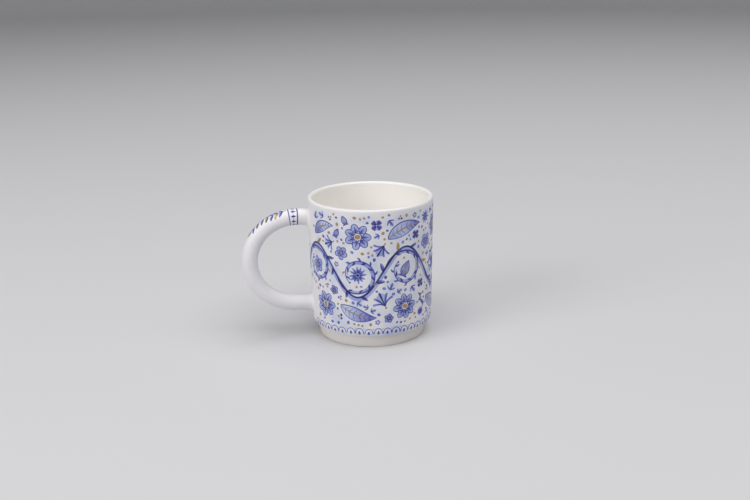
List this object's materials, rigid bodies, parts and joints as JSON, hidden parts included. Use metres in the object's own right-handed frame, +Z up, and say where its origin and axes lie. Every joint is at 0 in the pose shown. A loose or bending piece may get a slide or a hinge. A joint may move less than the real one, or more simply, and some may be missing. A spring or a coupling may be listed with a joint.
{
  "type": "mug",
  "caption": "Porcelain mug: a slightly tapered round body on a set-back foot ring, with a round C-shaped handle.",
  "frame": {"origin": "on the axis of the round body, at the plane the foot ring stands on", "axes": "+Z up along the body's axis, -X from the body to the handle"},
  "size_m": [0.1234, 0.08, 0.09],
  "materials": {
    "porcelain": "satin white glaze with cobalt blue and gold painting"
  },
  "bodies": {
    "root": {"mug": "porcelain"}
  },
  "joints": []
}
